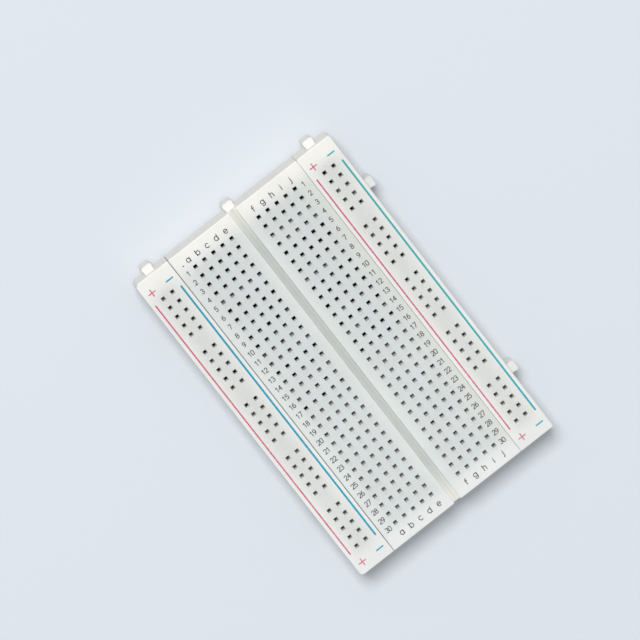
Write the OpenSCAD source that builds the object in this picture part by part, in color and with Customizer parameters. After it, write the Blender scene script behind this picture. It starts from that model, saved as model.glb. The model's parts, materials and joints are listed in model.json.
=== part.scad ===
/* [Hole grid] */
// Distance between neighbouring holes
pitch = 2.54; // [2.4:0.02:2.8]
// Rows of holes in the terminal strip
rows = 30; // [18:1:40]
// Holes joined by one row clip
bank_holes = 5; // [3:1:6]
// Distance between the two inner columns, across the channel
bank_gap = 7.62; // [6.6:0.02:10.16]
// Holes in one group along a rail
group_holes = 5; // [3:1:7]
// Side of a square hole
hole_w = 0.9; // [0.7:0.05:1.1]
// Side of the hole's mouth, at the top face
mouth_w = 1.1; // [1.1:0.05:1.5]
// Depth of the sloped lead-in under the mouth
lead_in = 0.1; // [0.1:0.05:0.5]

/* [Housings] */
// Height of a housing
housing_h = 8.5; // [7.5:0.1:10]
// Thickness of the deck that the holes go through
deck_t = 1.8; // [1:0.1:2]
// Outermost hole of the terminal strip to its long side
side_border = 4.03; // [3.6:0.01:6]
// First and last row to the ends
end_border = 4.92; // [4:0.01:8]
// Rail hole to the nearer long side of the rail
rail_border = 3.305; // [3.1:0.005:5]
// Space between the left rail and the terminal strip
left_seam = 0.14; // [0.04:0.02:0.4]
// Space between the terminal strip and the right rail
right_seam = 0.04; // [0.04:0.02:0.4]
// Radius of the top edges
edge_r = 0.2; // [0.1:0.05:0.6]
// Radius of the left rail's outer corners
left_corner_r = 1.2; // [0.4:0.1:2]
// Radius of the right rail's outer corners
right_corner_r = 0.6; // [0.4:0.1:2]
// Radius of the corners along the seams
seam_corner_r = 0.3; // [0.1:0.05:0.6]

/* [Channel] */
// Width of the channel between the two banks
channel_w = 1.9; // [1.6:0.1:4]
// Depth of the channel
channel_depth = 1.8; // [1:0.1:2.4]
// Thickness between the channel and the end slot under it
channel_floor = 0.7; // [0.5:0.1:1.2]

/* [Tabs and slots] */
// Width of a dovetail tab at its root
tab_neck = 2.2; // [1.8:0.1:3]
// Width of a dovetail tab near its tip
tab_head = 2.6; // [2.2:0.1:3.6]
// Length of a tab
tab_l = 1.8; // [1.4:0.1:2.1]
// Cut on the two corners of a tab's tip
tab_nose = 0.35; // [0.1:0.05:0.6]
// First-row end to the middle of the nearer side tab
tab_first = 14.5; // [8:0.5:20]
// Last-row end to the middle of the nearer side tab
tab_last = 16; // [8:0.5:20]
// Play between a tab and its slot
tab_play = 0.15; // [0.1:0.05:0.3]

/* [Clips] */
// Sheet thickness of the clips
clip_t = 0.2; // [0.15:0.05:0.3]
// Outside width of a clip's base
clip_w = 1.4; // [1.2:0.05:1.5]
// Width of a finger along the strip
finger_w = 1.9; // [1.4:0.05:2.1]
// Height of the spine that joins the fingers
spine_h = 1.2; // [0.6:0.1:1.6]
// Height at which the fingers start to lean in
shoulder_h = 1.7; // [1.6:0.1:2.4]
// Height from the grip point to the top of the lips
lip_h = 0.9; // [0.8:0.1:2]
// Gap between a pair of fingers at the grip point
grip_gap = 0.1; // [0.06:0.02:0.3]
// Width between the lips at the top
lip_w = 0.9; // [0.7:0.05:1]
// Play between a clip and the sides of its pocket
clip_play = 0.15; // [0.1:0.05:0.3]
// Space between the lips and the deck
lip_space = 0.2; // [0.1:0.05:0.5]

/* [Backing] */
// Thickness of the foam pads
pad_t = 1; // [0.6:0.1:2]
// Thickness of the release liners
liner_t = 0.12; // [0.08:0.02:0.3]
// Distance that pads and liners stay inside the housings
backing_inset = 0.25; // [0.1:0.05:0.6]

/* [Hidden] */
$fn = 48;
// Amount by which cuts run past the faces that they open
over = 1;
// Depth that a tab's root is sunk into its strip
tab_root = 0.5;
bank_w = (bank_holes - 1) * pitch;
bank_x = bank_gap / 2 + bank_w / 2;
grid_l = (rows - 1) * pitch;
main_w = bank_gap + 2 * bank_w + 2 * side_border;
main_l = grid_l + 2 * end_border;
rail_w = pitch + 2 * rail_border;
left_rail_x = -main_w / 2 - left_seam - rail_w / 2;
right_rail_x = main_w / 2 + right_seam + rail_w / 2;
pad_z = liner_t;
housing_z = liner_t + pad_t;
pocket_h = housing_h - deck_t;
pocket_w = clip_w + 2 * clip_play;
clip_h = pocket_h - lip_space;
slot_h = housing_h - channel_depth - channel_floor;
tab_h = slot_h - tab_play;
bank_stations = [for (i = [0 : bank_holes - 1]) i * pitch - bank_w / 2];
column_stations = [for (side = [-1, 1], x = bank_stations) side * bank_x + x];
row_stations = [for (i = [0 : rows - 1]) grid_l / 2 - i * pitch];
rail_stations = [for (i = [0 : rows - 2]) if (i % (group_holes + 1) < group_holes)
    (grid_l - pitch) / 2 - i * pitch];
bus_x = pitch / 2;
tab_stations = [main_l / 2 - tab_first, tab_last - main_l / 2];

function row_node(row) = str("row_", row < 10 ? "0" : "", row, "_clips");
function mirrored(points) = [for (i = [len(points) - 1 : -1 : 0]) [-points[i][0], points[i][1]]];

// Waste outside a rounded corner that points to +x and +y
module corner_waste(r) {
    difference() {
        square(r + over);
        circle(r);
    }
}

// Plan of a strip, with its own radius for the corners on each side
module strip_plan(w, l, left_r, right_r) {
    difference() {
        square([w, l], center = true);
        for (end = [0, 1]) mirror([0, end]) {
            translate([w / 2 - right_r, l / 2 - right_r]) corner_waste(right_r);
            translate([left_r - w / 2, l / 2 - left_r]) mirror([1, 0]) corner_waste(left_r);
        }
    }
}

// Side view of a housing with rounded top edges, standing on the x axis
module crowned_profile(w) {
    translate([-w / 2, 0]) square([w, housing_h - edge_r]);
    translate([edge_r - w / 2, 0]) square([w - 2 * edge_r, housing_h]);
    for (side = [-1, 1]) translate([side * (w / 2 - edge_r), housing_h - edge_r]) circle(edge_r);
}

// Dovetail that grows along +x from a face at x = 0, widened all round by play
module dovetail(play, root) {
    tip = tab_l + play;
    half_neck = tab_neck / 2 + play;
    half_head = tab_head / 2 + play;
    flank = [[-root, half_neck], [0, half_neck]];
    nose = [[tip - tab_nose, half_head], [tip, half_head - tab_nose]];
    edge = concat(flank, nose);
    polygon(concat(edge, [for (i = [len(edge) - 1 : -1 : 0]) [edge[i][0], -edge[i][1]]]));
}

// Plan of the three tabs of a strip, two on its right side and one on its first-row end
module tab_plan(w) {
    for (y = tab_stations) translate([w / 2, y]) dovetail(0, tab_root);
    translate([0, main_l / 2]) rotate(90) dovetail(0, tab_root);
}

// Plan of the three slots of a strip, placed where tabs reach in across a seam
module slot_plan(w, seam, play) {
    for (y = tab_stations) translate([-w / 2 - seam, y]) dovetail(play, over);
    translate([0, -main_l / 2 - seam]) rotate(90) dovetail(play, over);
}

// Solid strip with its tabs and slots, before holes and pockets are cut
module strip_blank(w, seam, left_r, right_r) {
    difference() {
        union() {
            intersection() {
                linear_extrude(housing_h) strip_plan(w, main_l, left_r, right_r);
                rotate([90, 0, 0]) linear_extrude(main_l + over, center = true) crowned_profile(w);
                rotate([90, 0, 90]) linear_extrude(w + over, center = true) crowned_profile(main_l);
            }
            linear_extrude(tab_h) tab_plan(w);
        }
        translate([0, 0, -over]) linear_extrude(slot_h + over) slot_plan(w, seam, tab_play);
    }
}

// Side view of a hole: straight below, sloped at the mouth, run past both faces of the deck
module hole_profile() {
    straight = [[hole_w / 2, pocket_h - over / 2], [hole_w / 2, housing_h - lead_in]];
    flared = [[mouth_w / 2, housing_h], [mouth_w / 2, housing_h + over]];
    side = concat(straight, flared);
    polygon(concat(side, mirrored(side)));
}

// Square holes where the columns at xs cross the rows at ys
module hole_grid(xs, ys, w) {
    intersection() {
        for (x = xs) translate([x, 0, 0]) rotate([90, 0, 0])
            linear_extrude(main_l, center = true) hole_profile();
        for (y = ys) translate([0, y, 0]) rotate([90, 0, 90])
            linear_extrude(w, center = true) hole_profile();
    }
}

// Pocket for a strip of contacts along x, open below
module pocket(stations) {
    l = max(stations) - min(stations) + finger_w + 2 * clip_play;
    middle = (max(stations) + min(stations)) / 2;
    translate([middle - l / 2, -pocket_w / 2, -over]) cube([l, pocket_w, pocket_h + over]);
}

// Section of a clip: a base, two sides that lean in to the grip point, and lips that open again
module clip_profile() {
    foot = clip_w / 2 - clip_t;
    grip = grip_gap / 2;
    lip = lip_w / 2;
    grip_z = clip_h - lip_h;
    sheet = [[foot, shoulder_h], [grip, grip_z], [lip, clip_h]];
    outside = concat([[clip_w / 2, 0]], [for (point = sheet) point + [clip_t, 0]]);
    inside = concat([sheet[2], sheet[1], sheet[0]], [[foot, clip_t]]);
    side = concat(outside, inside);
    polygon(concat(side, mirrored(side)));
}

// Stamped strip along x with a finger pair at each station
module contact_strip(stations) {
    ends = [min(stations) - finger_w / 2, max(stations) + finger_w / 2];
    difference() {
        translate([ends[0], 0, 0]) rotate([90, 0, 90]) linear_extrude(ends[1] - ends[0]) clip_profile();
        for (i = [1 : len(stations) - 1]) {
            start = min(stations[i - 1], stations[i]) + finger_w / 2;
            gap = abs(stations[i] - stations[i - 1]) - finger_w;
            translate([start, -pocket_w / 2, spine_h]) cube([gap, pocket_w, pocket_h]);
        }
    }
}

module terminal_housing() {
    color([0.93, 0.94, 0.93]) translate([0, 0, housing_z]) difference() {
        strip_blank(main_w, left_seam, seam_corner_r, seam_corner_r);
        hole_grid(column_stations, row_stations, main_w);
        for (side = [-1, 1], y = row_stations) translate([side * bank_x, y, 0]) pocket(bank_stations);
        translate([-channel_w / 2, -main_l / 2 - over, housing_h - channel_depth])
            cube([channel_w, main_l + 2 * over, channel_depth + over]);
    }
}

module rail_housing(seam, left_r, right_r) {
    difference() {
        strip_blank(rail_w, seam, left_r, right_r);
        hole_grid([-bus_x, bus_x], rail_stations, rail_w);
        for (x = [-bus_x, bus_x]) translate([x, 0, 0]) rotate(90) pocket(rail_stations);
    }
}

module left_rail_housing() {
    color([0.94, 0.94, 0.92]) translate([left_rail_x, 0, housing_z])
        rail_housing(left_seam, left_corner_r, seam_corner_r);
}

module right_rail_housing() {
    color([0.94, 0.94, 0.92]) translate([right_rail_x, 0, housing_z])
        rail_housing(right_seam, seam_corner_r, right_corner_r);
}

module row_clips(row) {
    color([0.78, 0.77, 0.73]) for (side = [-1, 1])
        translate([side * bank_x, row_stations[row - 1], housing_z]) contact_strip(bank_stations);
}

module bus_clip(x) {
    color([0.78, 0.77, 0.73]) translate([x, 0, housing_z]) rotate(90) contact_strip(rail_stations);
}

// Flat layer under a strip, open under the slots so that a tab can pass
module backing(w, seam, left_r, right_r, t) {
    inset = 2 * backing_inset;
    linear_extrude(t) difference() {
        strip_plan(w - inset, main_l - inset, left_r, right_r);
        slot_plan(w, seam, tab_play + backing_inset);
    }
}

module main_foam_pad() {
    color([0.96, 0.96, 0.94]) translate([0, 0, pad_z])
        backing(main_w, left_seam, seam_corner_r, seam_corner_r, pad_t);
}

module left_foam_pad() {
    color([0.96, 0.96, 0.94]) translate([left_rail_x, 0, pad_z])
        backing(rail_w, left_seam, left_corner_r, seam_corner_r, pad_t);
}

module right_foam_pad() {
    color([0.96, 0.96, 0.94]) translate([right_rail_x, 0, pad_z])
        backing(rail_w, right_seam, seam_corner_r, right_corner_r, pad_t);
}

module main_release_liner() {
    color([0.9, 0.86, 0.74]) backing(main_w, left_seam, seam_corner_r, seam_corner_r, liner_t);
}

module left_release_liner() {
    color([0.9, 0.86, 0.74]) translate([left_rail_x, 0, 0])
        backing(rail_w, left_seam, left_corner_r, seam_corner_r, liner_t);
}

module right_release_liner() {
    color([0.9, 0.86, 0.74]) translate([right_rail_x, 0, 0])
        backing(rail_w, right_seam, seam_corner_r, right_corner_r, liner_t);
}

terminal_housing();
left_rail_housing();
right_rail_housing();
bus_clip(left_rail_x - bus_x);  // left_positive_bus
bus_clip(left_rail_x + bus_x);  // left_negative_bus
bus_clip(right_rail_x - bus_x);  // right_positive_bus
bus_clip(right_rail_x + bus_x);  // right_negative_bus
main_foam_pad();
left_foam_pad();
right_foam_pad();
main_release_liner();
left_release_liner();
right_release_liner();
for (row = [1 : rows]) row_clips(row);
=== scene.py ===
import json
import math
import bpy
import bmesh
from mathutils import Matrix, Vector, geometry, noise

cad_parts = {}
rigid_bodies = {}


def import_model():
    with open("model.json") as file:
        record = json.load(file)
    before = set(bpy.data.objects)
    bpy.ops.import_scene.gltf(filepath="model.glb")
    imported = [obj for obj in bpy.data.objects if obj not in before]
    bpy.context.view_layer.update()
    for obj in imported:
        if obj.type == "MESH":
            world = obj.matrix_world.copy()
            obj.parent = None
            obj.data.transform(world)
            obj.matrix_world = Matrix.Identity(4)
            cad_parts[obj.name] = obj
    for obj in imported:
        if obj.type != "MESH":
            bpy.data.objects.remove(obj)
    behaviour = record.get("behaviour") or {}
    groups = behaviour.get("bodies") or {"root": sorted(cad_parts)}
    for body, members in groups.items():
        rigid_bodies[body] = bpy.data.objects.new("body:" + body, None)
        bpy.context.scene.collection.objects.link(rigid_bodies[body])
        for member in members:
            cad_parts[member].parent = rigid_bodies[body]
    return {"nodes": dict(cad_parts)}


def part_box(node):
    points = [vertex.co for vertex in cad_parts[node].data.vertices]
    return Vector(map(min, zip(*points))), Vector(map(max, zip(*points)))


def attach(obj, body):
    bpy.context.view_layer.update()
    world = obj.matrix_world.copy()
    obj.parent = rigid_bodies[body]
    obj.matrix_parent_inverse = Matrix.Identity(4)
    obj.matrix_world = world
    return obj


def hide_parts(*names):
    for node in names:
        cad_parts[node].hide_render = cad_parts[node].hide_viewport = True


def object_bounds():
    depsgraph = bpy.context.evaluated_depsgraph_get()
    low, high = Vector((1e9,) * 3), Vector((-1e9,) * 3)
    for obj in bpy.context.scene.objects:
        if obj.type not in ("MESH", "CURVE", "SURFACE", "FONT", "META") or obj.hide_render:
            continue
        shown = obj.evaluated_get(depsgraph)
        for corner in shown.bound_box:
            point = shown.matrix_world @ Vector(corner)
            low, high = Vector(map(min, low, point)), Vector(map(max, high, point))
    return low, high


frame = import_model()
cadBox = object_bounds()
mm = 0.001
scene = bpy.context.scene
scene.view_settings.view_transform = "Standard"


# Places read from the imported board

def middle(node):
    low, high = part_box(node)
    return (low + high) / 2


rowNames = sorted(name for name in frame["nodes"] if name.startswith("row_"))
busNames = sorted(name for name in frame["nodes"] if name.endswith("_bus"))
rowY = [middle(name).y for name in rowNames]
pitch = rowY[0] - rowY[1]
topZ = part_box("terminal_housing")[1].z
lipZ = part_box(rowNames[0])[1].z
bankHoles = 5
innerColumn = 1.5 * pitch  # columns e and f, either side of the channel
bankX = [innerColumn + step * pitch for step in range(bankHoles)]
columnX = [-x for x in reversed(bankX)] + bankX  # a to j
print("frame: %d rows at %.2f mm" % (len(rowY), pitch / mm))


# Camera, at the photo's angle

cameraView = {
    "aim": Vector((0.52 * mm, 10.1 * mm, topZ)),
    "tilt": math.radians(11),  # towards row 1
    "lean": math.radians(0.77),  # towards column a
    "turn": math.radians(37.43),
    "distance": 1.5,
    "width": 142.2 * mm,  # width of the picture at the board's face
}


def makeCamera(view):
    back = Vector((-math.sin(view["lean"]), math.sin(view["tilt"]), 0))
    back.z = math.sqrt(1 - back.length_squared)
    up = Vector((math.sin(view["turn"]), math.cos(view["turn"]), 0))
    up = (up - up.dot(back) * back).normalized()
    data = bpy.data.cameras.new("photoCamera")
    data.lens = data.sensor_width * view["distance"] / view["width"]
    camera = bpy.data.objects.new("photoCamera", data)
    turned = Matrix((up.cross(back), up, back)).transposed()
    camera.matrix_world = Matrix.Translation(view["aim"] + back * view["distance"]) @ turned.to_4x4()
    scene.collection.objects.link(camera)
    scene.camera = camera


makeCamera(cameraView)
print("camera: done")


# Node helpers, used by every material and tree below

def feed(tree, socket, value):
    if isinstance(value, bpy.types.NodeSocket):
        tree.links.new(value, socket)
    else:
        socket.default_value = value


def put(tree, kind, inputs=None, **settings):
    node = tree.nodes.new(kind)
    for name, value in settings.items():
        setattr(node, name, value)
    for name, value in (inputs or {}).items():
        feed(tree, node.inputs[name], value)
    return node


def calc(tree, operation, *values, kind="ShaderNodeMath"):
    node = put(tree, kind, operation=operation)
    for socket, value in zip(node.inputs, values):
        feed(tree, socket, value)
    return node.outputs[0]


def vectorCalc(tree, operation, *values):
    return calc(tree, operation, *values, kind="ShaderNodeVectorMath")


def axes(tree, vector):
    return put(tree, "ShaderNodeSeparateXYZ", {"Vector": vector}).outputs


def smooth(tree, value, low, high):
    spread = {"Value": value, "From Min": low, "From Max": high}
    return put(tree, "ShaderNodeMapRange", spread, interpolation_type="SMOOTHSTEP").outputs[0]


def lerp(tree, value, low, high):
    spread = {"Value": value, "To Min": low, "To Max": high}
    return put(tree, "ShaderNodeMapRange", spread).outputs[0]


def mixColour(tree, factor, first, second, blend="MIX"):
    node = put(tree, "ShaderNodeMix", data_type="RGBA", blend_type=blend)
    for index, value in ((0, factor), (6, first), (7, second)):
        feed(tree, node.inputs[index], value)
    return node.outputs[2]


def noiseAt(tree, vector, size, detail=2.0, roughness=0.5):
    inputs = {"Vector": vector, "Scale": 1 / size, "Detail": detail, "Roughness": roughness}
    return put(tree, "ShaderNodeTexNoise", inputs).outputs[0]


def stretch(tree, vector, scale, turn=(0, 0, 0)):
    inputs = {"Vector": vector, "Rotation": turn, "Scale": scale}
    return put(tree, "ShaderNodeMapping", inputs).outputs[0]


def rgb(red, green, blue):
    # a colour as picture editors give it, in the linear values that the shaders take
    shares = [value / 255 for value in (red, green, blue)]
    return (*(v / 12.92 if v < 0.0405 else ((v + 0.055) / 1.055) ** 2.4 for v in shares), 1)


# Shared surface effects

def newGroup(name, inputs, outputs):
    tree = bpy.data.node_groups.new(name, "ShaderNodeTree")
    for label, kind in inputs:
        tree.interface.new_socket(label, in_out="INPUT", socket_type="NodeSocket" + kind)
    for label, kind in outputs:
        tree.interface.new_socket(label, in_out="OUTPUT", socket_type="NodeSocket" + kind)
    return tree, tree.nodes.new("NodeGroupInput").outputs, tree.nodes.new("NodeGroupOutput").inputs


grainNoise = {"Detail": 3.0, "Roughness": 0.6}
mottleNoise = {"Detail": 3.0}
mottleRange = (0.3, 0.7)


def mouldGrainGroup():
    tree, given, result = newGroup(
        "mouldGrain", [("Vector", "Vector"), ("Grain", "Float"), ("Mottle", "Float")],
        [("Height", "Float"), ("Mottle", "Float")])
    fine = put(tree, "ShaderNodeTexNoise",
               {"Vector": given["Vector"], "Scale": given["Grain"], **grainNoise}).outputs[0]
    broad = put(tree, "ShaderNodeTexNoise",
                {"Vector": given["Vector"], "Scale": given["Mottle"], **mottleNoise}).outputs[0]
    feed(tree, result["Height"], fine)
    feed(tree, result["Mottle"], smooth(tree, broad, *mottleRange))
    return tree


def softZoneGroup():
    tree, given, result = newGroup(
        "softZone", [("Vector", "Vector"), ("Centre", "Vector"), ("Half", "Vector"), ("Soft", "Float")],
        [("Mask", "Float")])
    offset = vectorCalc(tree, "SUBTRACT", given["Vector"], given["Centre"])
    sides = axes(tree, vectorCalc(tree, "SUBTRACT", vectorCalc(tree, "ABSOLUTE", offset), given["Half"]))
    inner = calc(tree, "MULTIPLY", given["Soft"], -1.0)
    acrossMask = smooth(tree, sides["X"], given["Soft"], inner)
    alongMask = smooth(tree, sides["Y"], given["Soft"], inner)
    feed(tree, result["Mask"], calc(tree, "MULTIPLY", acrossMask, alongMask))
    return tree


def holeDepthGroup():
    tree, given, result = newGroup(
        "holeDepth", [("Vector", "Vector"), ("Top", "Float"), ("Start", "Float"), ("End", "Float")],
        [("Mask", "Float")])
    height = axes(tree, given["Vector"])["Z"]
    depth = calc(tree, "SUBTRACT", given["Top"], height)
    feed(tree, result["Mask"], smooth(tree, depth, given["Start"], given["End"]))
    return tree


def belowHolesGroup():
    tree, given, result = newGroup(
        "belowHoles", [("Vector", "Vector"), ("Pitch", "Float"), ("Drop", "Float"), ("Size", "Float"),
                       ("Core", "Float")],
        [("Mask", "Float")])
    axis = axes(tree, given["Vector"])
    offsets = []
    for value in (axis["X"], calc(tree, "ADD", axis["Y"], given["Drop"])):
        share = calc(tree, "FRACT", calc(tree, "DIVIDE", value, given["Pitch"]))
        offset = calc(tree, "MULTIPLY", calc(tree, "SUBTRACT", share, 0.5), given["Pitch"])
        offsets.append(calc(tree, "MULTIPLY", offset, offset))
    distance = calc(tree, "SQRT", calc(tree, "ADD", *offsets))
    feed(tree, result["Mask"], smooth(tree, distance, given["Size"], given["Core"]))
    return tree


def endTintGroup():
    tree, given, result = newGroup(
        "endTint", [("Vector", "Vector"), ("Colour", "Color"), ("First", "Color"), ("Last", "Color"),
                    ("Start", "Float"), ("End", "Float")],
        [("Colour", "Color")])
    along = axes(tree, given["Vector"])["Y"]
    tint = mixColour(tree, calc(tree, "GREATER_THAN", along, 0.0), given["Last"], given["First"])
    far = smooth(tree, calc(tree, "ABSOLUTE", along), given["Start"], given["End"])
    feed(tree, result["Colour"], mixColour(tree, far, given["Colour"], tint))
    return tree


holeChange = {  # what makes the painted shade of one hole lighter than another
    "least": -0.12,
    "row": 0.5,  # share that a whole row has in common
    "hole": 0.35,
    "along": 0.5,  # share that grows towards the last row
    "alongFrom": (10 * mm, -12 * mm),
    "rowSeed": 5.0,
}
railShift = 0.5  # rail holes lie half a pitch off the rows


def perFingerGroup():
    tree, given, result = newGroup(
        "perFinger", [("Vector", "Vector"), ("Shift", "Vector"), ("Pitch", "Vector")],
        [("Mixed", "Float")])
    flat = vectorCalc(tree, "MULTIPLY", given["Vector"], (1, 1, 0))
    counted = vectorCalc(tree, "DIVIDE", flat, given["Pitch"])
    cell = vectorCalc(tree, "FLOOR", vectorCalc(tree, "ADD", counted, given["Shift"]))
    finger = put(tree, "ShaderNodeTexWhiteNoise", {"Vector": cell}).outputs["Value"]
    axis = axes(tree, cell)
    side = calc(tree, "GREATER_THAN", axis["X"], 0.0)
    seed = calc(tree, "ADD", axis["Z"], holeChange["rowSeed"])
    strip = put(tree, "ShaderNodeCombineXYZ", {"X": side, "Y": axis["Y"], "Z": seed}).outputs[0]
    shared = put(tree, "ShaderNodeTexWhiteNoise", {"Vector": strip}).outputs["Value"]
    along = axes(tree, given["Vector"])["Y"]
    trend = smooth(tree, along, *holeChange["alongFrom"])
    total = holeChange["least"]
    for value, share in ((finger, "hole"), (shared, "row"), (trend, "along")):
        total = calc(tree, "MULTIPLY_ADD", value, holeChange[share], total)
    feed(tree, result["Mixed"], total)
    return tree


wear = {  # specks and smears left by handling
    "speckEdge": (0.16, 0.06),
    "speckRare": 0.93,  # share of the cells that stay clean
    "smearTurn": (0, 0, 0.7),
    "smearStretch": (1, 0.35, 1),
    "smearNoise": {"Detail": 4.0, "Roughness": 0.65},
    "smearRange": (0.5, 0.75),
}


def handlingGroup():
    tree, given, result = newGroup(
        "handling", [("Vector", "Vector"), ("Speck", "Float"), ("Smear", "Float")],
        [("Specks", "Float"), ("Smears", "Float")])
    cells = put(tree, "ShaderNodeTexVoronoi", {"Vector": given["Vector"], "Scale": given["Speck"]})
    near = smooth(tree, cells.outputs["Distance"], *wear["speckEdge"])
    pick = put(tree, "ShaderNodeSeparateColor", {"Color": cells.outputs["Color"]}).outputs[0]
    rare = calc(tree, "GREATER_THAN", pick, wear["speckRare"])
    feed(tree, result["Specks"], calc(tree, "MULTIPLY", near, rare))
    stretched = stretch(tree, given["Vector"], wear["smearStretch"], wear["smearTurn"])
    smear = put(tree, "ShaderNodeTexNoise",
                {"Vector": stretched, "Scale": given["Smear"], **wear["smearNoise"]}).outputs[0]
    feed(tree, result["Smears"], smooth(tree, smear, *wear["smearRange"]))
    return tree


mouldGrain = mouldGrainGroup()
softZone = softZoneGroup()
holeDepth = holeDepthGroup()
belowHoles = belowHolesGroup()
endTint = endTintGroup()
perFinger = perFingerGroup()
handling = handlingGroup()


def useGroup(tree, group, **inputs):
    return put(tree, "ShaderNodeGroup", inputs, node_tree=group).outputs


def newMaterial(name):
    material = bpy.data.materials.new(name)
    material.use_nodes = True
    tree = material.node_tree
    shader = tree.nodes["Principled BSDF"]
    return material, tree, shader, put(tree, "ShaderNodeTexCoord").outputs


def addBump(tree, shader, height, distance, strength):
    bump = put(tree, "ShaderNodeBump", {"Height": height, "Distance": distance, "Strength": strength})
    feed(tree, shader.inputs["Normal"], bump.outputs[0])


# Moulded plastic of the housings

plastic = {
    "firstEnd": rgb(244, 243, 238),  # border beyond row 1
    "lastEnd": rgb(231, 233, 232),
    "endFade": (35 * mm, 41 * mm),
    "plain": rgb(222, 227, 224),
    "lastEdge": rgb(217, 220, 215),  # beyond column j
    "lastEdgeFrom": 12 * mm,
    "bank": rgb(212, 217, 216),  # among the holes
    "bankSoft": 2.2 * mm,
    "bankNoise": (5 * mm, 3.0),  # size and detail
    "bankShare": (0.8, 1.15),
    "rail": rgb(216, 218, 215),
    "railEdge": rgb(234, 234, 231),
    # the channel floor: grey of its thin plastic, with painted shade of the sunk floor
    "channel": rgb(197, 201, 197),
    "channelSide": rgb(212, 216, 212),  # paler, since the corners of the floor get less light
    "channelHalf": 0.95 * mm,
    "channelMiddle": 0.2,  # share of the half width that is the middle of the floor
    "channelEdge": (1.03, 0.97),
    "channelFade": (41 * mm, 31 * mm),  # painted light: the floor is painted lighter towards the open ends
    "channelEnd": (1.35, 1.28, 1.26, 1),  # how much lighter the floor is painted there
    "channelSunk": (0.1 * mm, 1.2 * mm),
    "channelUnder": (1.98 * mm, 1.89 * mm),  # the paint stops below the floor
    "body": rgb(230, 231, 228),  # side walls
    "bodyFrom": (0.1 * mm, 0.5 * mm),
    "holeSoft": 0.05 * mm,  # edge of the zone in which the holes are shaded
    # painted shade deep inside a hole and its pocket
    "hole": rgb(36, 36, 38),
    "wall": rgb(250, 251, 250),  # inside a hole, where light comes through the plastic
    "wallTop": (0.45 * mm, 1.0 * mm),
    "blockDark": (1.0 * mm, 3.2 * mm),  # depth at which the painted shade on the wall starts, from strip to strip
    "railDark": (1.0 * mm, 6.0 * mm),
    "wallSoft": 0.3 * mm,
    "wallSeed": 3.0,
    "patch": rgb(190, 195, 198),  # painted shade, faint, beside each hole, on the side of the last row
    "patchDrop": 0.85 * mm,
    "patchSize": 0.8 * mm,
    "patchCore": 0.16 * mm,
    "patchShare": (0.1, 0.5),
    "grain": 0.16 * mm,
    "grainBump": (0.012 * mm, 0.35),  # height and strength
    "mottle": 7 * mm,
    "mottleShade": (0.975, 1.0),
    "speck": 1.6 * mm,
    "speckColour": rgb(120, 116, 108),
    "speckShare": 0.16,
    "smear": 11 * mm,
    "smearColour": rgb(150, 150, 140),
    "smearShare": 0.035,
    "roughness": (0.36, 0.5),
    "paintedFalloff": (1.015, 0.965),  # painted light and shade along the board, from the last row to the first
    "glow": 0.25,  # share of light that goes through the skin
    "glowDepth": 0.25 * mm,
}


def depthMask(tree, place, start, end):
    return useGroup(tree, holeDepth, Vector=place, Top=topZ, Start=start, End=end)["Mask"]


def tintBody(tree, place, colour):
    colour = mixColour(tree, depthMask(tree, place, *plastic["bodyFrom"]), colour, plastic["body"])
    low, high = plastic["endFade"]
    return useGroup(tree, endTint, Vector=place, Colour=colour, First=plastic["firstEnd"],
                    Last=plastic["lastEnd"], Start=low, End=high)["Colour"]


def finishPlastic(tree, shader, place, colour):
    grain = useGroup(tree, mouldGrain, Vector=place, Grain=1 / plastic["grain"],
                     Mottle=1 / plastic["mottle"])
    worn = useGroup(tree, handling, Vector=place, Speck=1 / plastic["speck"], Smear=1 / plastic["smear"])
    # painted shade: the plastic is painted darker towards row 1 and lighter towards the last row
    paintedFalloff = lerp(tree, smooth(tree, axes(tree, place)["Y"], rowY[-1], rowY[0]), *plastic["paintedFalloff"])
    shade = calc(tree, "MULTIPLY", paintedFalloff, lerp(tree, grain["Mottle"], *plastic["mottleShade"]))
    colour = mixColour(tree, 1.0, colour, shade, "MULTIPLY")
    for kind, mask in (("speck", worn["Specks"]), ("smear", worn["Smears"])):
        mask = calc(tree, "MULTIPLY", mask, plastic[kind + "Share"])
        colour = mixColour(tree, mask, colour, plastic[kind + "Colour"])
    feed(tree, shader.inputs["Base Color"], colour)
    dull = calc(tree, "MAXIMUM", grain["Mottle"], worn["Smears"])
    feed(tree, shader.inputs["Roughness"], lerp(tree, dull, *plastic["roughness"]))
    addBump(tree, shader, grain["Height"], *plastic["grainBump"])
    shader.inputs["Subsurface Weight"].default_value = plastic["glow"]
    shader.inputs["Subsurface Radius"].default_value = (1, 1, 1)
    shader.inputs["Subsurface Scale"].default_value = plastic["glowDepth"]


def shadeHoles(tree, place, colour, grid, shift, reach):
    own = useGroup(tree, perFinger, Vector=place, Shift=(0, shift, plastic["wallSeed"]), Pitch=(pitch,) * 3)
    start = lerp(tree, own["Mixed"], *reach)
    inside = depthMask(tree, place, *plastic["wallTop"])
    # painted shade: the wall turns dark below a depth that changes from hole to hole
    deep = depthMask(tree, place, start, calc(tree, "ADD", start, plastic["wallSoft"]))
    colour = mixColour(tree, calc(tree, "MULTIPLY", grid, inside), colour, plastic["wall"])
    return mixColour(tree, calc(tree, "MULTIPLY", grid, deep), colour, plastic["hole"])


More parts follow.
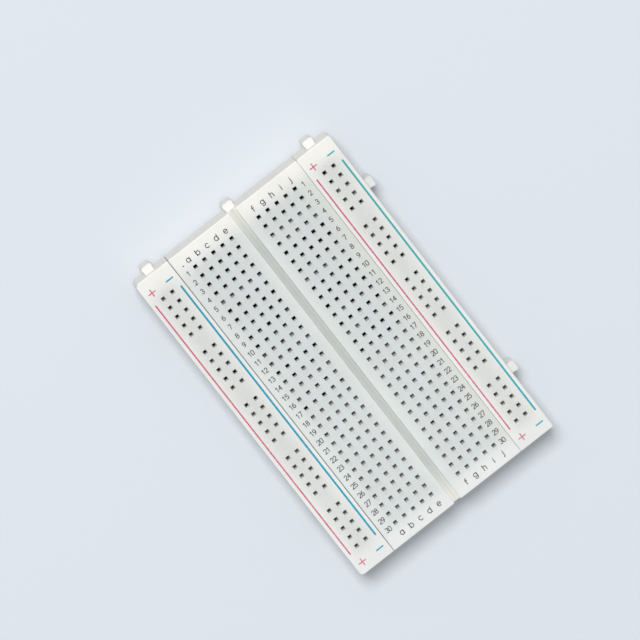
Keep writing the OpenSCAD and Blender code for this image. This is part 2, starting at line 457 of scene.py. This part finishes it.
def paintChannel(tree, place, colour):
    axis = axes(tree, place)
    across = calc(tree, "ABSOLUTE", axis["X"])
    half = plastic["channelHalf"]
    outer, inner = plastic["channelEdge"]
    mask = calc(tree, "MULTIPLY", depthMask(tree, place, *plastic["channelSunk"]),
                depthMask(tree, place, *plastic["channelUnder"]))
    mask = calc(tree, "MULTIPLY", smooth(tree, across, outer * half, inner * half), mask)
    side = smooth(tree, across, plastic["channelMiddle"] * half, half)
    floor = mixColour(tree, side, plastic["channel"], plastic["channelSide"])
    # painted light towards the open ends of the channel
    fade = smooth(tree, calc(tree, "ABSOLUTE", axis["Y"]), *plastic["channelFade"])
    endLight = mixColour(tree, fade, plastic["channelEnd"], (1, 1, 1, 1))
    return mixColour(tree, mask, colour, mixColour(tree, 1.0, floor, endLight, "MULTIPLY"))


def makeBlockPlastic():
    material, tree, shader, coords = newMaterial("blockPlastic")
    place = coords["Object"]
    axis = axes(tree, place)
    across = calc(tree, "ABSOLUTE", axis["X"])  # both banks at once
    folded = put(tree, "ShaderNodeCombineXYZ", {"X": across, "Y": axis["Y"], "Z": axis["Z"]}).outputs[0]
    bank = {"Vector": folded, "Centre": (sum(bankX) / bankHoles, 0, 0),
            "Half": (bankHoles / 2 * pitch, len(rowY) / 2 * pitch, 1)}
    zone = useGroup(tree, softZone, Soft=plastic["bankSoft"], **bank)["Mask"]
    hard = useGroup(tree, softZone, Soft=plastic["holeSoft"], **bank)["Mask"]
    patchy = noiseAt(tree, place, *plastic["bankNoise"])
    beyond = calc(tree, "GREATER_THAN", axis["X"], plastic["lastEdgeFrom"])
    colour = mixColour(tree, beyond, plastic["plain"], plastic["lastEdge"])
    among = calc(tree, "MULTIPLY", zone, lerp(tree, patchy, *plastic["bankShare"]))
    colour = mixColour(tree, among, colour, plastic["bank"])
    # painted shade beside each hole, on the side of the last row
    below = useGroup(tree, belowHoles, Vector=place, Pitch=pitch, Drop=plastic["patchDrop"],
                     Size=plastic["patchSize"], Core=plastic["patchCore"])["Mask"]
    below = calc(tree, "MULTIPLY", below, zone)
    below = calc(tree, "MULTIPLY", below, lerp(tree, patchy, *plastic["patchShare"]))
    colour = tintBody(tree, place, mixColour(tree, below, colour, plastic["patch"]))
    colour = paintChannel(tree, place, colour)
    colour = shadeHoles(tree, place, colour, hard, 0, plastic["blockDark"])
    finishPlastic(tree, shader, place, colour)
    return material


def makeRailPlastic(name, buses):
    material, tree, shader, coords = newMaterial(name)
    place = coords["Object"]
    centreX = sum(middle(bus).x for bus in buses) / len(buses)
    bank = {"Vector": place, "Centre": (centreX, 0, 0), "Half": (pitch, len(rowY) / 2 * pitch, 1)}
    zone = useGroup(tree, softZone, Soft=plastic["bankSoft"], **bank)["Mask"]
    hard = useGroup(tree, softZone, Soft=plastic["holeSoft"], **bank)["Mask"]
    colour = tintBody(tree, place, mixColour(tree, zone, plastic["railEdge"], plastic["rail"]))
    colour = shadeHoles(tree, place, colour, hard, railShift, plastic["railDark"])
    finishPlastic(tree, shader, place, colour)
    return material


# Spring metal of the clips

clipMetal = {
    "bright": rgb(250, 250, 248),
    "dull": rgb(214, 212, 206),
    # painted shade on the lips, deep in the hole
    "dark": rgb(40, 39, 37),
    "tarnish": (2.2 * mm, 4.0, 0.6),  # size, detail and roughness
    "tarnishShare": 0.4,
    "dullFrom": (0.4, 1.1),
    "brush": (0.05 * mm, 2.0),
    "brushStretch": (0.04, 1, 1),
    "brushBump": (0.004 * mm, 0.4),
    "roughness": (0.4, 0.6),
    "metallic": 0.12,  # tin plate, mostly matt
    "rowShine": (-0.4 * mm, 1.7 * mm),  # how far down the lips stay bright before the painted shade, from strip to strip
    "busShine": (0.3 * mm, 2.0 * mm),
    "shinePower": 2.0,
    "lipSoft": 0.3 * mm,
}


def makeSpringMetal(name, shift, shine):
    material, tree, shader, coords = newMaterial(name)
    place = coords["Object"]
    mixed = useGroup(tree, perFinger, Vector=place, Shift=(0, shift, 0), Pitch=(pitch,) * 3)["Mixed"]
    stain = noiseAt(tree, place, *clipMetal["tarnish"])
    dulled = calc(tree, "MULTIPLY_ADD", stain, clipMetal["tarnishShare"], mixed)
    dulled = smooth(tree, dulled, *clipMetal["dullFrom"])
    colour = mixColour(tree, dulled, clipMetal["bright"], clipMetal["dull"])
    # painted shade: below a depth that changes from finger to finger the lips turn dark
    below = calc(tree, "SUBTRACT", lipZ, axes(tree, place)["Z"])
    start = lerp(tree, calc(tree, "POWER", mixed, clipMetal["shinePower"]), *shine)
    shaded = smooth(tree, below, start, calc(tree, "ADD", start, clipMetal["lipSoft"]))
    colour = mixColour(tree, shaded, colour, clipMetal["dark"])
    brushed = noiseAt(tree, stretch(tree, place, clipMetal["brushStretch"]), *clipMetal["brush"])
    feed(tree, shader.inputs["Base Color"], colour)
    feed(tree, shader.inputs["Roughness"], lerp(tree, brushed, *clipMetal["roughness"]))
    shader.inputs["Metallic"].default_value = clipMetal["metallic"]
    addBump(tree, shader, brushed, *clipMetal["brushBump"])
    return material


# Release paper under the pads

liner = {
    "paper": rgb(236, 231, 214),
    "fibre": rgb(222, 214, 194),
    "fibreNoise": (0.5 * mm, 5.0, 0.7),  # size, detail and roughness
    "fibreStretch": (1, 0.2, 1),
    "fibreTurn": (0, 0, 0.4),
    "fibreRange": (0.35, 0.75),
    "cloud": rgb(244, 241, 230),
    "cloudNoise": (6 * mm, 3.0),
    "cloudShare": 0.25,
    "slit": (0.09 * mm, 0.036 * mm),  # half width of the peel slit, outside and inside
    "slitWave": 1.6 * mm,
    "slitLength": 21 * mm,
    "slitShade": rgb(132, 124, 106),
    "slitShare": 0.6,
    "slitDepth": 4.0,  # times the height of the fibres
    "bump": (0.01 * mm, 0.5),
    "roughness": (0.32, 0.5),
}


def makeLinerPaper():
    material, tree, shader, coords = newMaterial("linerPaper")
    place = coords["Object"]
    fibres = stretch(tree, place, liner["fibreStretch"], liner["fibreTurn"])
    fine = noiseAt(tree, fibres, *liner["fibreNoise"])
    cloudy = noiseAt(tree, place, *liner["cloudNoise"])
    colour = mixColour(tree, smooth(tree, fine, *liner["fibreRange"]), liner["paper"], liner["fibre"])
    colour = mixColour(tree, calc(tree, "MULTIPLY", cloudy, liner["cloudShare"]), colour, liner["cloud"])
    axis = axes(tree, place)
    wave = calc(tree, "SINE", calc(tree, "MULTIPLY", axis["Y"], 2 * math.pi / liner["slitLength"]))
    offset = calc(tree, "SUBTRACT", axis["X"], calc(tree, "MULTIPLY", wave, liner["slitWave"]))
    slit = smooth(tree, calc(tree, "ABSOLUTE", offset), *liner["slit"])
    colour = mixColour(tree, calc(tree, "MULTIPLY", slit, liner["slitShare"]), colour, liner["slitShade"])
    feed(tree, shader.inputs["Base Color"], colour)
    feed(tree, shader.inputs["Roughness"], lerp(tree, cloudy, *liner["roughness"]))
    height = calc(tree, "SUBTRACT", fine, calc(tree, "MULTIPLY", slit, liner["slitDepth"]))
    addBump(tree, shader, height, *liner["bump"])
    return material


# Closed-cell foam of the pads

foam = {
    "skin": rgb(232, 230, 224),
    "cellShade": rgb(190, 187, 178),
    "cell": 0.28 * mm,
    "cellWall": (0.2, 0.7),
    "cloudNoise": (3 * mm, 3.0),  # size and detail
    "cloudShade": (0.9, 1.0),
    "bump": (0.05 * mm, 0.8),
    "roughness": (0.75, 0.95),
    "step": 0.3 * mm,  # spacing of the points round the cut edge
    "rings": 7,
    "hollow": 0.05 * mm,  # how far the cut edge is pulled in at half height
    "ragged": 0.05 * mm,
    "fill": 1.0,
    "weld": 0.001 * mm,
    "lidReach": 0.01 * mm,  # faces this close to the top belong to the lid
}


def makeFoamCells():
    material, tree, shader, coords = newMaterial("foamCells")
    place = coords["Object"]
    cells = put(tree, "ShaderNodeTexVoronoi", {"Vector": place, "Scale": 1 / foam["cell"]})
    wall = smooth(tree, cells.outputs["Distance"], *foam["cellWall"])
    cloudy = noiseAt(tree, place, *foam["cloudNoise"])
    colour = mixColour(tree, wall, foam["cellShade"], foam["skin"])
    colour = mixColour(tree, 1.0, colour, lerp(tree, cloudy, *foam["cloudShade"]), "MULTIPLY")
    feed(tree, shader.inputs["Base Color"], colour)
    feed(tree, shader.inputs["Roughness"], lerp(tree, wall, *foam["roughness"]))
    addBump(tree, shader, wall, *foam["bump"])
    return material


def padOutline(node):
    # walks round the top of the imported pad
    bm = bmesh.new()
    bm.from_mesh(frame["nodes"][node].data)
    bmesh.ops.remove_doubles(bm, verts=bm.verts, dist=foam["weld"])
    lowest = max(v.co.z for v in bm.verts) - foam["lidReach"]
    lids = {face for face in bm.faces if all(v.co.z > lowest for v in face.verts)}
    rim = {}
    for face in lids:
        for loop in face.loops:
            if not any(other in lids for other in loop.edge.link_faces if other is not face):
                rim[loop.vert] = loop.link_loop_next.vert
    start = next(iter(rim))
    walk = [start]
    while rim[walk[-1]] is not start:
        walk.append(rim[walk[-1]])
    points = [v.co.to_2d() for v in walk]
    bm.free()
    return points


def spacedOut(points, step):
    spaced = []
    for here, there in zip(points, points[1:] + points[:1]):
        count = max(1, math.ceil((there - here).length / step))
        spaced += [here.lerp(there, k / count) for k in range(count)]
    return spaced


def makePad(node, body, material):
    low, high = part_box(node)
    outline = spacedOut(padOutline(node), foam["step"])
    bm = bmesh.new()
    rings = []
    for level in range(foam["rings"]):
        share = level / (foam["rings"] - 1)
        z = low.z + share * (high.z - low.z)
        ring = []
        for before, here, after in zip(outline[-1:] + outline[:-1], outline, outline[1:] + outline[:1]):
            along = (after - before).normalized()
            inward = Vector((-along.y, along.x))
            free = 4 * share * (1 - share)  # none where the pad is stuck to a face
            cut = (1 + noise.noise(Vector((here.x, here.y, z)) / foam["cell"])) / 2
            depth = free * (foam["hollow"] + foam["ragged"] * cut)
            ring.append(bm.verts.new((*(here + inward * depth), z)))
        rings.append(ring)
    for lower, upper in zip(rings, rings[1:]):
        for k in range(len(outline)):
            j = (k + 1) % len(outline)
            bm.faces.new((lower[k], lower[j], upper[j], upper[k]))
    caps = [bm.faces.new(rings[-1]), bm.faces.new(list(reversed(rings[0])))]
    bm.normal_update()  # or a cap that winds the other way is filled across its notches
    bmesh.ops.triangulate(bm, faces=caps)
    bmesh.ops.recalc_face_normals(bm, faces=bm.faces)
    name = node.replace("_pad", "_cushion")
    mesh = bpy.data.meshes.new(name)
    bm.to_mesh(mesh)
    bm.free()
    mesh.materials.append(material)
    pad = bpy.data.objects.new(name, mesh)
    scene.collection.objects.link(pad)
    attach(pad, body)
    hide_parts(node)


# Printing inks

inks = {
    "dark": rgb(50, 51, 53),
    "darkThin": rgb(80, 81, 83),
    "red": rgb(198, 86, 114),
    "redThin": rgb(220, 142, 160),
    "blueLeft": rgb(0, 142, 172),
    "blueRight": rgb(54, 164, 158),
    "blueThin": rgb(44, 172, 196),
    "patch": (0.6 * mm, 4.0, 0.65),  # size, detail and roughness
    "lighter": 0.12,  # the print gets lighter by this towards the last row
    "thinFrom": (0.45, 0.8),
    "grain": (0.08 * mm, 2.0),
    "bump": (0.004 * mm, 0.3),
    "roughness": (0.42, 0.6),
}


def makeInk(name, left, right, thin):
    material, tree, shader, coords = newMaterial(name)
    place = coords["Object"]
    axis = axes(tree, place)
    full = mixColour(tree, smooth(tree, axis["X"], cadBox[0].x, cadBox[1].x), left, right)
    density = noiseAt(tree, place, *inks["patch"])
    along = smooth(tree, axis["Y"], cadBox[1].y, cadBox[0].y)
    bare = smooth(tree, calc(tree, "MULTIPLY_ADD", along, inks["lighter"], density), *inks["thinFrom"])
    feed(tree, shader.inputs["Base Color"], mixColour(tree, bare, full, thin))
    feed(tree, shader.inputs["Roughness"], lerp(tree, density, *inks["roughness"]))
    addBump(tree, shader, noiseAt(tree, place, *inks["grain"]), *inks["bump"])
    return material


# Glyphs: strokes of a round pen

def arc(x, y, rx, ry, start, end, steps=12):
    turns = [math.radians(start + (end - start) * k / steps) for k in range(steps + 1)]
    return [Vector((x + rx * math.cos(t), y + ry * math.sin(t))) for t in turns]


def line(*points):
    return [Vector(p) for p in points]


def ring(x, y, rx, ry):
    return arc(x, y, rx, ry, 0, 360, 20)


digits = {  # one high, on the baseline
    "0": [arc(0, 0.72, 0.27, 0.28, 0, 180) + arc(0, 0.28, 0.27, 0.28, 180, 360) + line((0.27, 0.72))],
    "1": [line((-0.2, 0.78), (0.03, 1)), line((0.03, 1), (0.03, 0))],
    "2": [arc(0, 0.72, 0.26, 0.28, 165, -35), line((0.21, 0.56), (-0.27, 0)), line((-0.27, 0), (0.29, 0))],
    "3": [arc(-0.02, 0.76, 0.25, 0.24, 150, -90), arc(-0.02, 0.26, 0.29, 0.26, 90, -150)],
    "4": [line((0.14, 0), (0.14, 1)), line((0.14, 1), (-0.28, 0.32)), line((-0.28, 0.32), (0.3, 0.32))],
    "5": [line((0.24, 1), (-0.2, 1)), line((-0.2, 1), (-0.24, 0.56)),
          arc(-0.02, 0.32, 0.29, 0.32, 138, -145)],
    "6": [ring(0, 0.3, 0.27, 0.3), arc(0.26, 0.33, 0.53, 0.67, 180, 103)],
    "7": [line((-0.28, 1), (0.28, 1)), line((0.28, 1), (-0.08, 0))],
    "8": [ring(0, 0.76, 0.23, 0.24), ring(0, 0.27, 0.28, 0.27)],
    "9": [ring(0, 0.7, 0.27, 0.3), arc(-0.26, 0.67, 0.53, 0.67, 0, -77)],
}
letters = {  # small letters one high, on the baseline
    "a": [ring(-0.05, 0.5, 0.42, 0.5), line((0.4, 1), (0.4, 0))],
    "b": [line((-0.4, 1.36), (-0.4, 0)), ring(0.04, 0.5, 0.43, 0.5)],
    "c": [arc(0.04, 0.5, 0.45, 0.5, 48, 312, 16)],
    "d": [line((0.4, 1.36), (0.4, 0)), ring(-0.04, 0.5, 0.43, 0.5)],
    "e": [line((-0.42, 0.52), (0.42, 0.52)), arc(0, 0.5, 0.43, 0.5, 0, 312, 18)],
    "f": [arc(0.2, 1.08, 0.22, 0.26, 65, 180) + line((-0.02, 0)), line((-0.24, 0.86), (0.26, 0.86))],
    "g": [ring(-0.04, 0.56, 0.42, 0.44), line((0.4, 1), (0.4, 0)) + arc(0, 0, 0.4, 0.34, 0, -150)[1:]],
    "h": [line((-0.36, 1.36), (-0.36, 0)), arc(0, 0.6, 0.36, 0.4, 180, 0) + line((0.36, 0))],
    "i": [line((0, 0.96), (0, 0)), line((0, 1.3), (0, 1.31))],
    "j": [line((0.1, 0.96), (0.1, 0)) + arc(-0.12, 0, 0.22, 0.3, 0, -110)[1:],
          line((0.1, 1.3), (0.1, 1.31))],
}
signs = {
    "plus": [line((-0.5, 0), (0.5, 0)), line((0, -0.5), (0, 0.5))],
    "minus": [line((-0.5, 0), (0.5, 0))],
    "dot": [line((-0.01, 0), (0.01, 0))],
}
legend = {
    "digitHigh": 1.12 * mm,
    "digitPen": 0.17 * mm,
    "digitStep": 0.77 * mm,
    "numberX": 16.15 * mm,
    "numberDrop": 0.24 * mm,  # print sits this far below the hole row
    "letterHigh": 0.98 * mm,
    "letterPen": 0.19 * mm,
    "letterSpread": 1.023,  # printed a little wider than the columns
    "firstLetters": Vector((0, 38.5 * mm)),
    "lastLetters": Vector((0.2 * mm, -40.05 * mm)),
    "signSize": 1.7 * mm,
    "plusPen": 0.27 * mm,
    "minusPen": 0.34 * mm,
    "firstSignY": 38.2 * mm,
    "lastSignY": -39.2 * mm,
    "signOff": 2.46 * mm,  # from the rail's centre line
    "stripeOff": 3.58 * mm,
    "redPen": 0.34 * mm,
    "bluePen": 0.46 * mm,
    "stripeEnds": (-36.1 * mm, 35.35 * mm),
    "dotPen": 0.3 * mm,
    "dotAt": (-16.1 * mm, 38.6 * mm),
    "thick": 0.02 * mm,
    "sunk": 0.01 * mm,  # the ink starts this far inside the plastic
    "capSteps": 6,
    "touch": 0.01,  # a stroke is closed if its ends are this close, in pens
    "weld": 0.0005 * mm,
    "crossing": 0.00001 * mm,
}


def strokeFaces(path, pen):
    # quads along the stroke, and a half circle of the pen at each open end
    closed = (path[0] - path[-1]).length < legend["touch"] * pen
    points = path[:-1] if closed else path
    count = len(points)
    rails = []
    for k, here in enumerate(points):
        before = points[k - 1] if closed or k else here
        after = points[(k + 1) % count] if closed or k < count - 1 else here
        along = (after - before).normalized()
        side = Vector((-along.y, along.x)) * pen / 2
        rails.append((here + side, here - side))
    pairs = zip(rails, rails[1:] + rails[:1]) if closed else zip(rails, rails[1:])
    faces = [[a[1], b[1], b[0], a[0]] for a, b in pairs]
    if not closed:
        steps = legend["capSteps"]
        for tip, edge in ((points[0], rails[0][0]), (points[-1], rails[-1][1])):
            first = math.atan2(*(edge - tip).yx)
            turns = [first + math.pi * k / steps for k in range(steps + 1)]
            faces.append([tip + Vector((math.cos(t), math.sin(t))) * pen / 2 for t in turns])
    return faces


def newTree(name, inputs):
    tree = bpy.data.node_groups.new(name, "GeometryNodeTree")
    for label, kind in inputs:
        tree.interface.new_socket(label, in_out="INPUT", socket_type="NodeSocket" + kind)
    tree.interface.new_socket("Result", in_out="OUTPUT", socket_type="NodeSocketGeometry")
    given = tree.nodes.new("NodeGroupInput").outputs
    return tree, given, tree.nodes.new("NodeGroupOutput").inputs["Result"]


def socketId(tree, label):
    sockets = tree.interface.items_tree
    return next(s.identifier for s in sockets if s.in_out == "INPUT" and s.name == label)


def grow(name, mesh, tree, inputs):
    # runs a geometry tree on a mesh and returns the plain mesh that it makes
    maker = bpy.data.objects.new(name, mesh)
    scene.collection.objects.link(maker)
    modifier = maker.modifiers.new("maker", "NODES")
    modifier.node_group = tree
    for label, value in inputs.items():
        modifier[socketId(tree, label)] = value
    bpy.context.view_layer.update()
    graph = bpy.context.evaluated_depsgraph_get()
    made = bpy.data.meshes.new_from_object(maker.evaluated_get(graph), depsgraph=graph)
    bpy.data.objects.remove(maker)
    made.name = name
    return made


def covers(face, point):
    return all((after - here).cross(point - here) > 0 for here, after in zip(face, face[1:] + face[:1]))


def glyphMesh(name, strokes, size, pen):
    # joins the strokes into one flat shape and raises it to the thickness of the ink
    faces = [face for stroke in strokes for face in strokeFaces([point * size for point in stroke], pen)]
    corners, outlines = [], []
    for face in faces:
        outlines.append(list(range(len(corners), len(corners) + len(face))))
        corners += face
    insideOnly = 1
    mixed = geometry.delaunay_2d_cdt(corners, [], outlines, insideOnly, legend["crossing"])
    points, triangles = mixed[0], mixed[2]
    bm = bmesh.new()
    flat = [bm.verts.new((*point, -legend["sunk"])) for point in points]
    for triangle in triangles:
        centre = sum((points[k] for k in triangle), Vector((0, 0))) / 3
        if any(covers(face, centre) for face in faces):  # the counter of a letter has no ink
            bm.faces.new([flat[k] for k in triangle])
    bmesh.ops.delete(bm, geom=[v for v in flat if not v.link_faces], context="VERTS")
    bmesh.ops.remove_doubles(bm, verts=bm.verts, dist=legend["weld"])
    bmesh.ops.dissolve_degenerate(bm, edges=bm.edges, dist=legend["weld"])
    raised = bmesh.ops.extrude_face_region(bm, geom=bm.faces[:])["geom"]
    bmesh.ops.translate(bm, verts=[v for v in raised if isinstance(v, bmesh.types.BMVert)],
                        vec=(0, 0, legend["sunk"] + legend["thick"]))
    bmesh.ops.recalc_face_normals(bm, faces=bm.faces)
    mesh = bpy.data.meshes.new(name)
    bm.to_mesh(mesh)
    bm.free()
    return mesh


def printTree():
    # copies a glyph to each point, picked by the point's own number
    tree, given, result = newTree("printGlyphs", [("Points", "Geometry"), ("Glyphs", "Collection"),
                                                  ("Scale", "Float"), ("Ink", "Material")])
    shapes = put(tree, "GeometryNodeCollectionInfo",
                 {"Collection": given["Glyphs"], "Separate Children": True, "Reset Children": True})
    pick = put(tree, "GeometryNodeInputNamedAttribute", {"Name": "glyph"}, data_type="INT")
    placed = put(tree, "GeometryNodeInstanceOnPoints", {
        "Points": given["Points"], "Instance": shapes.outputs[0], "Pick Instance": True,
        "Instance Index": pick.outputs["Attribute"], "Scale": given["Scale"]})
    real = put(tree, "GeometryNodeRealizeInstances", {"Geometry": placed.outputs[0]})
    inked = put(tree, "GeometryNodeSetMaterial", {"Geometry": real.outputs[0], "Material": given["Ink"]})
    feed(tree, result, inked.outputs[0])
    return tree


def makeGlyphs():
    tray = bpy.data.collections.new("glyphTray")
    scene.collection.children.link(tray)
    shapes = {}
    for kind, size, pen in ((digits, "digitHigh", "digitPen"), (letters, "letterHigh", "letterPen")):
        for name, strokes in kind.items():
            shapes[name] = glyphMesh(name, strokes, legend[size], legend[pen])
    for name, strokes in signs.items():
        shapes[name] = glyphMesh(name, strokes, legend["signSize"], legend[name + "Pen"])
    low, high = legend["stripeEnds"]
    for sign, pen in (("plus", "redPen"), ("minus", "bluePen")):
        shapes[sign + "Stripe"] = glyphMesh(sign + "Stripe", [line((0, low), (0, high))], 1, legend[pen])
    order = {}
    for name in sorted(shapes):
        order[name] = len(order)
        tray.objects.link(bpy.data.objects.new("glyph_%02d" % order[name], shapes[name]))
    return tray, order


def numberPoints(value, x, y):
    text = str(value)
    start = x - legend["digitStep"] * (len(text) - 1) / 2
    return [(c, start + k * legend["digitStep"], y) for k, c in enumerate(text)]


def blockLegend():
    marks = [("dot", *legend["dotAt"])]
    for number, y in enumerate(rowY, 1):
        base = y - legend["numberDrop"] - legend["digitHigh"] / 2
        for side in (-1, 1):
            marks += numberPoints(number, side * legend["numberX"], base)
    for letter, x in zip(sorted(letters), columnX):
        for shift in (legend["firstLetters"], legend["lastLetters"]):
            marks.append((letter, x * legend["letterSpread"] + shift.x, shift.y))
    return marks


def railLegend(centreX, side, sign):
    x = centreX + side * legend["signOff"]
    marks = [(sign, x, legend["firstSignY"]), (sign, x, legend["lastSignY"])]
    return marks + [(sign + "Stripe", centreX + side * legend["stripeOff"], 0)]


def printPiece(name, body, ink, marks, tree, tray, order):
    mesh = bpy.data.meshes.new(name + "_points")
    mesh.from_pydata([(x, y, topZ) for _, x, y in marks], [], [])
    chosen = mesh.attributes.new("glyph", "INT", "POINT")
    chosen.data.foreach_set("value", [order[glyph] for glyph, _, _ in marks])
    printed = grow(name, mesh, tree, {"Glyphs": tray, "Scale": 1.0, "Ink": ink})
    piece = bpy.data.objects.new(name, printed)
    scene.collection.objects.link(piece)
    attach(piece, body)


def makeLegend():
    tray, order = makeGlyphs()
    tree = printTree()
    darkInk = makeInk("darkInk", inks["dark"], inks["dark"], inks["darkThin"])
    redInk = makeInk("redInk", inks["red"], inks["red"], inks["redThin"])
    blueInk = makeInk("blueInk", inks["blueLeft"], inks["blueRight"], inks["blueThin"])
    printPiece("block_legend", "main_block", darkInk, blockLegend(), tree, tray, order)
    for rail in ("left", "right"):
        centreX = (middle(rail + "_positive_bus").x + middle(rail + "_negative_bus").x) / 2
        for sign, slot, ink, side in (("plus", "red_ink", redInk, -1), ("minus", "blue_ink", blueInk, 1)):
            printPiece("%s_%s_legend" % (rail, sign), rail + "_rail", ink,
                       railLegend(centreX, side, sign), tree, tray, order)
    for shape in list(tray.objects):
        bpy.data.objects.remove(shape)
    bpy.data.collections.remove(tray)


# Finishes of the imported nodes

def paint(node, material):
    mesh = frame["nodes"][node].data
    mesh.materials.clear()
    mesh.materials.append(material)


paint("terminal_housing", makeBlockPlastic())
for rail in ("left", "right"):
    buses = [name for name in busNames if name.startswith(rail)]
    paint(rail + "_rail_housing", makeRailPlastic(rail + "RailPlastic", buses))
rowMetal = makeSpringMetal("rowMetal", 0, clipMetal["rowShine"])
for node in rowNames:
    paint(node, rowMetal)
busMetal = makeSpringMetal("busMetal", railShift, clipMetal["busShine"])
for node in busNames:
    paint(node, busMetal)
linerPaper = makeLinerPaper()
for node in ("left_release_liner", "main_release_liner", "right_release_liner"):
    paint(node, linerPaper)
print("finishes: done")

foamCells = makeFoamCells()
for node, body in (("left_foam_pad", "left_rail"), ("main_foam_pad", "main_block"),
                   ("right_foam_pad", "right_rail")):
    makePad(node, body, foamCells)
print("pads: done")

makeLegend()
print("legend: done")


# Floor and soft studio light

studio = {
    "floorColour": rgb(219, 225, 232),
    "floorSize": 6.0,
    "floorDrop": 0.02 * mm,
    "floorRough": 0.9,
    "floorGloss": 0.2,
    "skyStrength": 0.46,
    "floorGlow": 0.62,  # light that comes back up from the floor
    "horizon": (0.1, -0.1),
    "keyFrom": Vector((0, 1.21, 2.48)),  # high, beyond row 1, so that it reaches into the holes
    "keySize": 1.0,
    "keyPower": 50.6,
}


def makeFloor():
    half = studio["floorSize"] / 2
    low = -studio["floorDrop"]
    mesh = bpy.data.meshes.new("studioFloor")
    mesh.from_pydata([(-half, -half, low), (half, -half, low), (half, half, low), (-half, half, low)], [],
                     [(0, 1, 2, 3)])
    material, tree, shader, _ = newMaterial("floorPaper")
    shader.inputs["Base Color"].default_value = studio["floorColour"]
    shader.inputs["Roughness"].default_value = studio["floorRough"]
    shader.inputs["Specular IOR Level"].default_value = studio["floorGloss"]
    # clear from below, to show the underside
    below = put(tree, "ShaderNodeNewGeometry").outputs["Backfacing"]
    sheet = put(tree, "ShaderNodeMixShader", {0: below, 1: shader.outputs[0]})
    feed(tree, sheet.inputs[2], put(tree, "ShaderNodeBsdfTransparent").outputs[0])
    feed(tree, tree.nodes["Material Output"].inputs["Surface"], sheet.outputs[0])
    mesh.materials.append(material)
    floor = bpy.data.objects.new("studioFloor", mesh)
    floor.visible_diffuse = False
    floor.visible_glossy = False
    scene.collection.objects.link(floor)


def makeLamp(name, place, size, power):
    data = bpy.data.lights.new(name, "AREA")
    data.size = size
    data.energy = power
    lamp = bpy.data.objects.new(name, data)
    lamp.location = place
    lamp.rotation_mode = "QUATERNION"
    lamp.rotation_quaternion = (-place).to_track_quat("-Z", "Y")
    scene.collection.objects.link(lamp)


def makeSky():
    world = bpy.data.worlds.new("studioSky")
    world.use_nodes = True
    tree = world.node_tree
    sky = tree.nodes["Background"]
    sky.inputs["Color"].default_value = (1, 1, 1, 1)
    toward = put(tree, "ShaderNodeTexCoord").outputs["Generated"]
    height = axes(tree, toward)["Z"]
    downward = smooth(tree, height, *studio["horizon"])
    feed(tree, sky.inputs["Strength"], lerp(tree, downward, studio["skyStrength"], studio["floorGlow"]))
    backdrop = put(tree, "ShaderNodeBackground", {"Color": studio["floorColour"]})
    rays = put(tree, "ShaderNodeLightPath").outputs
    seen = calc(tree, "MAXIMUM", rays["Is Glossy Ray"], rays["Is Transmission Ray"])
    seen = calc(tree, "MAXIMUM", rays["Is Camera Ray"], seen)
    both = put(tree, "ShaderNodeMixShader", {0: seen, 1: sky.outputs[0], 2: backdrop.outputs[0]})
    feed(tree, tree.nodes["World Output"].inputs["Surface"], both.outputs[0])
    scene.world = world


makeFloor()
makeLamp("keySoftbox", studio["keyFrom"], studio["keySize"], studio["keyPower"])
makeSky()
print("studio: done")
